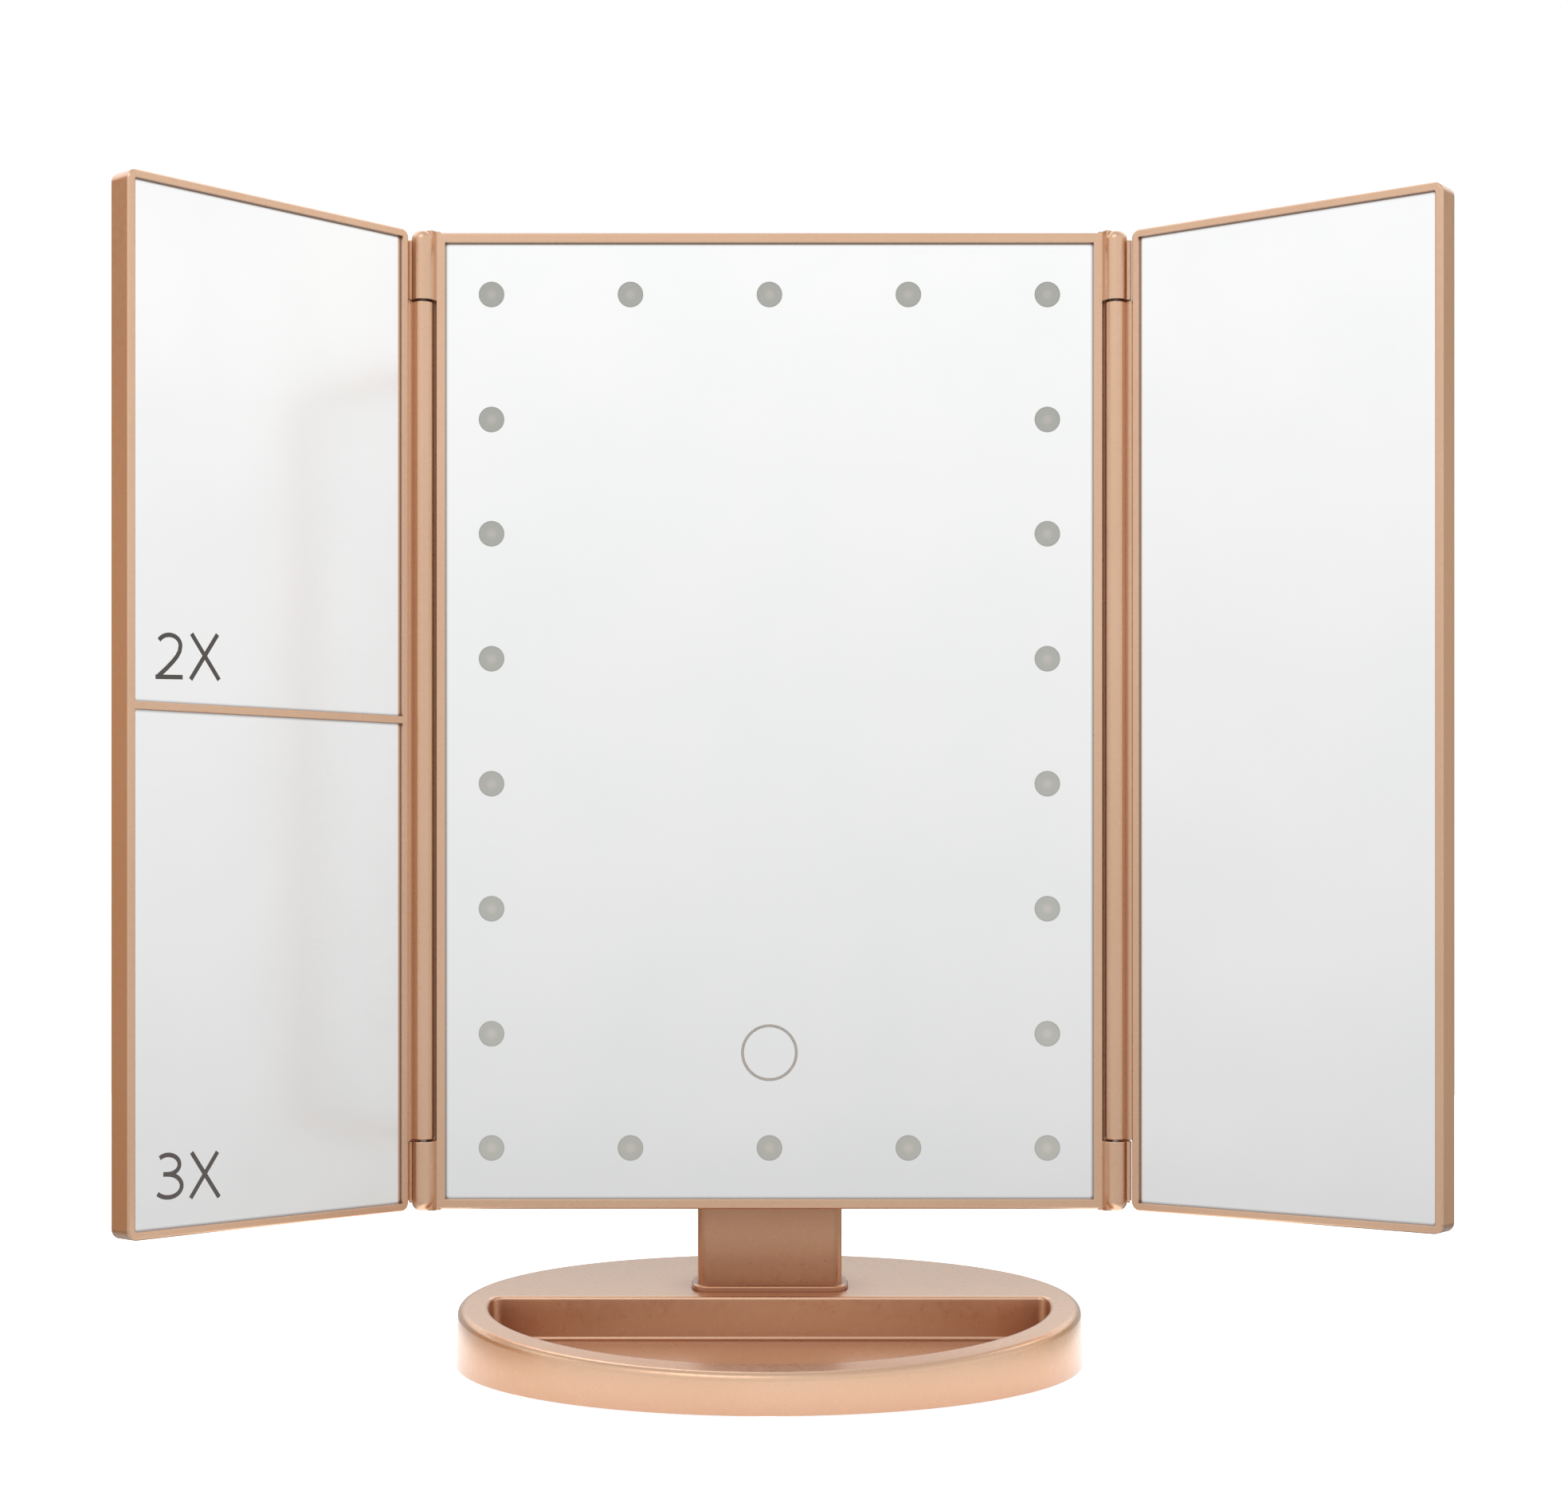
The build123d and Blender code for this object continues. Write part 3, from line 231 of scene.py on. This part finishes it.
def metal(name, dark, light, rough, stretch=(1, 1, 30), scale=260):
    """Turned or rolled metal: fine lines one way, duller and brighter patches."""
    m = Nodes(name)
    rounded, edge = m.edges(METAL_EDGE)
    lines = m.noise(scale, 3, 0.6, stretch)
    colour = m.mix(m.spread(lines, 0, 1), dark, light)
    colour = m.mix(m.math("MULTIPLY", edge, 0.4), colour, srgb(235, 235, 232))
    m.set(Base_Color=colour, Metallic=1.0, Roughness=m.spread(lines, rough - 0.06, rough + 0.08),
          Normal=m.bump(lines, 0.15, 0.00002, rounded))
    return m.material


def circuit(name, dark, light):
    """Solder mask with a faint net of tracks."""
    m = Nodes(name)
    cells = m.add("ShaderNodeTexVoronoi", {"Vector": m.place, "Scale": 420.0},
                  distance="CHEBYCHEV").outputs["Distance"]
    line = m.spread(cells, 0, 1, 0.36, 0.42)
    fine = m.noise(1500, 2)
    m.set(Base_Color=m.mix(line, dark, light), Roughness=m.spread(fine, 0.28, 0.4),
          Normal=m.bump(line, 0.3, 0.00003))
    return m.material


def foam():
    """Closed-cell foam: small round cells, all dull."""
    m = Nodes("foam")
    cells = m.add("ShaderNodeTexVoronoi", {"Vector": m.place, "Scale": 2600.0}).outputs["Distance"]
    m.set(Base_Color=m.mix(m.spread(cells, 0, 1, 0.0, 0.5), srgb(30, 30, 31), srgb(52, 52, 54)),
          Roughness=m.spread(cells, 0.85, 0.95, 0.0, 0.5), Normal=m.bump(cells, 0.6, 0.0001))
    return m.material


def frosted_window():
    """Etched window with the light chip faintly seen behind it; the disc's UV runs from 0 to 1."""
    m = Nodes("frosted_window")
    uv = m.add("ShaderNodeUVMap", uv_map="window").outputs[0]
    centred = m.add("ShaderNodeVectorMath", {0: uv, 1: (0.5, 0.5, 0)},
                    operation="SUBTRACT").outputs[0]
    radius = m.add("ShaderNodeVectorMath", {0: centred}, operation="LENGTH").outputs["Value"]
    chip = m.spread(radius, 1, 0, 0.08, 0.26)
    rim = m.spread(radius, 0, 1, 0.40, 0.5)
    frost = m.noise(6000, 2)
    colour = m.mix(m.math("MULTIPLY", chip, 0.45), srgb(165, 166, 160), srgb(194, 188, 178))
    colour = m.mix(m.math("MULTIPLY", rim, 0.35), colour, srgb(150, 151, 146))
    colour = m.mix(m.spread(frost, 0, 0.10), colour, srgb(204, 204, 200))
    m.set(Base_Color=colour, Roughness=m.spread(frost, 0.5, 0.65), Specular_IOR_Level=0.35,
          Normal=m.bump(frost, 0.3, 0.00002))
    return m.material


def ink(name, dark, light):
    """Matt ink with a fine, even mottle."""
    m = Nodes(name)
    fine = m.noise(2500, 2)
    m.set(Base_Color=m.mix(m.spread(fine, 0, 1), dark, light), Roughness=m.spread(fine, 0.5, 0.6),
          Normal=m.bump(fine, 0.2, 0.00001))
    return m.material


slot_materials = {
    "rose_gold": rose_gold("rose_gold_lacquer", GOLD_LOW, GOLD_HIGH, 0.0),
    "mirror_glass": mirror_glass(),
    "foam_tape": foam(),
    "diffuser": plastic("frosted_acrylic", srgb(232, 232, 228), srgb(240, 240, 237), 0.5),
    "white_board": circuit("white_board", srgb(226, 226, 221), srgb(238, 238, 235)),
    "green_board": circuit("green_board", srgb(18, 78, 42), srgb(34, 112, 60)),
    "light_chip": plastic("light_chip", srgb(240, 224, 140), srgb(248, 236, 168), 0.35),
    "black_chip": plastic("black_chip", srgb(22, 22, 23), srgb(34, 34, 35), 0.55, 3000),
    "copper": metal("copper_foil", srgb(190, 108, 74), srgb(222, 146, 108), 0.35),
    "lead": plastic("flat_lead", srgb(206, 206, 203), srgb(224, 224, 221), 0.45),
    "steel": metal("plain_steel", srgb(160, 160, 163), srgb(196, 196, 198), 0.3),
    "zinc_screw": metal("zinc_plate", srgb(168, 168, 160), srgb(206, 206, 198), 0.32, (1, 1, 1),
                        1400),
    "nylon": plastic("nylon", srgb(222, 219, 208), srgb(232, 230, 221), 0.5),
    "rubber": plastic("rubber", srgb(22, 22, 22), srgb(38, 38, 38), 0.8, 1500, 0.00008),
    "cell_jacket": plastic("cell_jacket", srgb(34, 36, 44), srgb(46, 48, 58), 0.28, 300),
    "black_plastic": plastic("black_plastic", srgb(24, 24, 25), srgb(36, 36, 37), 0.5, 1400,
                             0.00008, edge_tone=srgb(66, 66, 68)),
}
# Shaded copies of the lacquer: the base's has painted shade in its tray, and the neck's is painted
# darker all over and shaded in its hollows.
node_materials = {
    "base_shell": rose_gold("rose_gold_base_shaded", GOLD_LOW, GOLD_HIGH, 0.8),
    "neck_shell": rose_gold("rose_gold_neck_shaded", NECK_SHADED_LOW, NECK_SHADED_HIGH, 0.85),
}
for subpart in frame["record"]["subparts"]:
    name = subpart["node"]
    finish = node_materials.get(name, slot_materials[subpart["material_slot"]])
    for material_slot in frame["nodes"][name].material_slots:
        material_slot.material = finish


# ---------------------------------------------------------------- pieces on the mirrors, in mm
FILL_GAP = 0.02                             # around the fill of an etched place
SOFT_IN, SOFT_BACK, RING_SOFT_IN, RING_SOFT_BACK = 0.04, 0.03, 0.03, 0.02
DISC_FLAT, DISC_SIDES, RING_SIDES = 0.55, 40, 96
ARC_STEPS = 18
GLASS_FRONT = HINGE_PROUD + 1.0             # wing's glass, behind the hinge's axis
MARK_OUTER, MARK_WIDTH, MARK_HEIGHT, MARK_STROKE = 78.3, 17.7, 10.6, 1.05
MARK_PROUD, MARK_SUNK, MARK_STEP = 0.02, 0.01, 0.004
MARK_2X_Z, MARK_2X_RISE = 6.3, 0.7
MARK_3X_Z, MARK_3X_RISE = -113.1, -0.9


def piece(name, mesh_builder, matrix, material, body):
    """A mesh built in a body's own millimetres, put in its place and on its body."""
    mesh = bpy.data.meshes.new(name)
    shape = bmesh.new()
    mesh_builder(shape)
    bmesh.ops.recalc_face_normals(shape, faces=shape.faces)
    shape.transform(Matrix.Scale(MM, 4) @ matrix)
    shape.to_mesh(mesh)
    shape.free()
    mesh.materials.append(material)
    made = bpy.data.objects.new(name, mesh)
    bpy.context.scene.collection.objects.link(made)
    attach(made, body)
    return made


def circles(shape, x, z, sections, sides):
    """Circles of vertices around (x, z), one for each (radius, y) of the sections."""
    turns = [2 * math.pi * k / sides for k in range(sides)]
    return [[shape.verts.new((x + r * math.cos(turn), y, z + r * math.sin(turn)))
             for turn in turns] for r, y in sections]


def bridge(shape, loops):
    """A band of faces from each loop of vertices to the next."""
    faces = []
    for low, high in zip(loops, loops[1:]):
        for k, (first, over) in enumerate(zip(low, high)):
            after = (k + 1) % len(low)
            faces.append(shape.faces.new((first, low[after], high[after], over)))
    return faces


def disc(shape, x, z, radius, front, back):
    """Thin disc across Y with a softened front edge; UV 0..1 across its face."""
    uv = shape.loops.layers.uv.get("window") or shape.loops.layers.uv.new("window")
    sections = ((radius, back), (radius, front + SOFT_BACK), (radius - SOFT_IN, front),
                (radius * DISC_FLAT, front))
    loops = circles(shape, x, z, sections, DISC_SIDES)
    faces = bridge(shape, loops) + [shape.faces.new(loops[-1]), shape.faces.new(loops[0])]
    for face in faces:
        for loop in face.loops:
            place = loop.vert.co
            loop[uv].uv = ((place.x - x) / (2 * radius) + 0.5, (place.z - z) / (2 * radius) + 0.5)


def ring(shape, x, z, outer, inner, front, back):
    """Thin ring across Y with softened front edges."""
    sections = ((outer, back), (outer, front + RING_SOFT_BACK), (outer - RING_SOFT_IN, front),
                (inner + RING_SOFT_IN, front), (inner, front + RING_SOFT_BACK), (inner, back))
    loops = circles(shape, x, z, sections, RING_SIDES)
    bridge(shape, loops + loops[:1])


def stroke(shape, path, width, front, back):
    """A pen stroke of even width along a path of (x, z) points."""
    sections = []
    for n, (x, z) in enumerate(path):
        before, after = path[max(n - 1, 0)], path[min(n + 1, len(path) - 1)]
        along = Vector((after[0] - before[0], after[1] - before[1])).normalized()
        side = Vector((-along.y, along.x)) * width / 2
        sections.append([shape.verts.new((x + s * side.x, y, z + s * side.y))
                         for s, y in ((1, back), (1, front), (-1, front), (-1, back))])
    bridge(shape, sections)
    shape.faces.new(sections[0])
    shape.faces.new(sections[-1])


def arc(x, z, radius_x, radius_z, start, end):
    """Points of a part of an oval, from one angle to another in degrees."""
    turns = [math.radians(start + (end - start) * k / ARC_STEPS) for k in range(ARC_STEPS + 1)]
    return [(x + radius_x * math.cos(turn), z + radius_z * math.sin(turn)) for turn in turns]


# The figures' strokes, across 0..1 and up 0..1.
TWO = [arc(0.21, 0.735, 0.175, 0.225, 152, -12)
       + [(0.372, 0.61), (0.335, 0.505), (0.27, 0.385), (0.17, 0.235), (0.03, 0.045)],
       [(0.0, 0.045), (0.42, 0.045)]]
THREE = [arc(0.195, 0.75, 0.175, 0.21, 138, -90) + [(0.12, 0.535)],
         [(0.12, 0.54)] + arc(0.19, 0.285, 0.215, 0.25, 90, -138)]
CROSS = [[(0.545, 0.0), (0.97, 1.0)], [(0.56, 1.0), (0.995, 0.0)]]


def mark(shape, strokes, low_z, rise):
    """The photograph shows the marks level, so each rises or falls a little along the wing.
    Each stroke stands a hair over the one before it, so no two faces share a plane."""
    for n, path in enumerate(strokes):
        points = [(-MARK_OUTER + MARK_WIDTH * u, low_z + rise * u + MARK_HEIGHT * v)
                  for u, v in path]
        stroke(shape, points, MARK_STROKE, GLASS_FRONT - MARK_PROUD - MARK_STEP * n,
               GLASS_FRONT + MARK_SUNK)


def windows(shape):
    """Five windows in the top and bottom rows, and two in each row between."""
    places = [(COLUMN_PITCH * k, z) for z in (WINDOW_ROWS[0], WINDOW_ROWS[-1])
              for k in (-2, -1, 0, 1, 2)]
    places += [(side * SIDE_COLUMN_X, z) for z in WINDOW_ROWS[1:-1] for side in (-1, 1)]
    for x, z in places:
        disc(shape, x, z, WINDOW_RADIUS - FILL_GAP, ETCH_FRONT, ETCH_BACK)


def touch_ring(shape):
    ring(shape, 0, TOUCH_Z, TOUCH_RADIUS - FILL_GAP, TOUCH_RADIUS - TOUCH_LINE + FILL_GAP,
         ETCH_FRONT, ETCH_BACK)


def mark_2x(shape):
    mark(shape, TWO + CROSS, MARK_2X_Z, MARK_2X_RISE)


def mark_3x(shape):
    mark(shape, THREE + CROSS, MARK_3X_Z, MARK_3X_RISE)


mark_ink = ink("mark_ink", srgb(70, 65, 63), srgb(80, 75, 72))
ring_ink = ink("ring_ink", srgb(150, 143, 136), srgb(168, 162, 155))
piece("light_windows", windows, head_matrix, frosted_window(), "head")
piece("touch_ring", touch_ring, head_matrix, ring_ink, "head")
piece("mark_2x", mark_2x, left_matrix, mark_ink, "left_wing")
piece("mark_3x", mark_3x, left_matrix, mark_ink, "left_wing")


# ---------------------------------------------------------------- floor, light and surroundings
# Brightness by height along the head's upright axis, in front and behind; the axis along which
# the rear levels take over, and where; and the warm boards on either side, each with its
# direction, how nearly a ray points at it where it starts and is full, and its tint.
FRONT_LEVELS = ((-0.45, 0.72), (-0.30, 0.42), (-0.20, 0.32), (-0.15, 0.67), (-0.106, 0.737),
                (-0.026, 0.815), (0.060, 0.87), (0.145, 0.93), (0.22, 1.01), (0.40, 0.92),
                (1.0, 0.70))
BACK_LEVELS = ((-0.46, 0.45), (-0.30, 0.25), (-0.10, 0.48), (0.10, 0.58), (0.26, 0.43),
               (0.36, 0.56), (0.46, 1.15), (0.85, 1.35), (1.0, 0.70))
LOWEST, HIGHEST = -0.5, 1.0
BACKWARD, BACK_START, BACK_FULL = (-0.2, 1.0, 0.0), 0.0, 0.16
WARM_LEFT = ((-0.98, 0.2, 0.0), 0.86, 0.95, (1.0, 0.66, 0.42, 1))
WARM_RIGHT = ((0.90, 0.43, 0.0), 0.87, 0.93, (1.0, 0.86, 0.68, 1))
WORLD_STRENGTH, SEEN_LEVEL = 2.0, 0.54
FLOOR_SIDES, FLOOR_RADIUS, FLOOR_GLOW = 128, 0.62, 0.9
NEAR_FLOOR_RADIUS, NEAR_FLOOR_LOW, NEAR_FLOOR_GLOW = 0.118, 0.0002, 0.2
KEY_PLACE, KEY_TARGET, KEY_SIZE, KEY_POWER = (-0.5, -1.2, 1.5), (0, 0, 0.12), 0.9, 3.0


def floor(name, radius, low, emission):
    """A round of plain pale floor."""
    shape = bmesh.new()
    bmesh.ops.create_circle(shape, cap_ends=True, radius=radius, segments=FLOOR_SIDES)
    shape.transform(Matrix.Translation((0, 0, -low)))
    mesh = bpy.data.meshes.new(name)
    shape.to_mesh(mesh)
    shape.free()
    m = Nodes(name)
    mottle = m.spread(m.noise(60, 3), 0, 1)
    m.set(Base_Color=m.mix(mottle, (0.90, 0.90, 0.90, 1), (0.92, 0.92, 0.92, 1)),
          Roughness=0.9, Emission_Color=(1, 1, 1, 1), Emission_Strength=emission)
    mesh.materials.append(m.material)
    made = bpy.data.objects.new(name, mesh)
    bpy.context.scene.collection.objects.link(made)
    return made


def surroundings():
    """A white studio. The camera sees plain white; the object sees a graded board in front, from
    white above to grey below, darker boards behind it, and a warm one on either side."""
    world = bpy.data.worlds.new("studio")
    bpy.context.scene.world = world
    world.use_nodes = True
    tree = world.node_tree

    def add(kind, inputs, **settings):
        node = tree.nodes.new(kind)
        for key, value in settings.items():
            setattr(node, key, value)
        for key, value in inputs.items():
            if isinstance(value, bpy.types.NodeSocket):
                tree.links.new(value, node.inputs[key])
            else:
                node.inputs[key].default_value = value
        return node

    def along(axis):
        return add("ShaderNodeVectorMath", {0: direction, 1: axis},
                   operation="DOT_PRODUCT").outputs["Value"]

    def between(value, start, end):
        return add("ShaderNodeMapRange", {"Value": value, "From Min": start,
                                          "From Max": end}).outputs[0]

    def mix(factor, first, second, blend="MIX"):
        return add("ShaderNodeMix", {0: factor, 6: first, 7: second}, data_type="RGBA",
                   blend_type=blend).outputs[2]

    def curve(value, stops):
        """The levels as colours, which can't pass 1, so the world's strength makes up the rest."""
        ramp = add("ShaderNodeValToRGB", {0: between(value, LOWEST, HIGHEST)})
        while len(ramp.color_ramp.elements) < len(stops):
            ramp.color_ramp.elements.new(0.5)
        for element, (place, level) in zip(ramp.color_ramp.elements, stops):
            element.position = (place - LOWEST) / (HIGHEST - LOWEST)
            element.color = [level / WORLD_STRENGTH] * 3 + [1]
        return ramp.outputs[0]

    direction = add("ShaderNodeTexCoord", {}).outputs["Generated"]
    height = along((0, math.sin(HEAD_TILT), math.cos(HEAD_TILT)))
    graded = mix(between(along(BACKWARD), BACK_START, BACK_FULL), curve(height, FRONT_LEVELS),
                 curve(height, BACK_LEVELS))
    for axis, start, full, tint in (WARM_LEFT, WARM_RIGHT):
        graded = mix(between(along(axis), start, full), graded, tint, "MULTIPLY")
    by_camera = add("ShaderNodeLightPath", {}).outputs["Is Camera Ray"]
    background = tree.nodes["Background"]
    tree.links.new(mix(by_camera, graded, (SEEN_LEVEL, SEEN_LEVEL, SEEN_LEVEL, 1)),
                   background.inputs["Color"])
    background.inputs["Strength"].default_value = WORLD_STRENGTH


def key_light():
    """A soft square light, above and in front on the left."""
    data = bpy.data.lights.new("key", "AREA")
    data.shape = "SQUARE"
    data.size = KEY_SIZE
    data.energy = KEY_POWER
    lamp = bpy.data.objects.new("key", data)
    lamp.location = KEY_PLACE
    aim = Vector(KEY_TARGET) - Vector(KEY_PLACE)
    lamp.rotation_euler = aim.to_track_quat("-Z", "Y").to_euler()
    bpy.context.scene.collection.objects.link(lamp)


# The wide floor is seen and lights the object, and the near one, a hair below it, is what the
# object reflects around its base.
wide_floor = floor("floor", FLOOR_RADIUS, 0.0, FLOOR_GLOW)
wide_floor.visible_glossy = False
near_floor = floor("floor_near", NEAR_FLOOR_RADIUS, NEAR_FLOOR_LOW, NEAR_FLOOR_GLOW)
near_floor.visible_camera = False
near_floor.visible_diffuse = False
surroundings()
key_light()
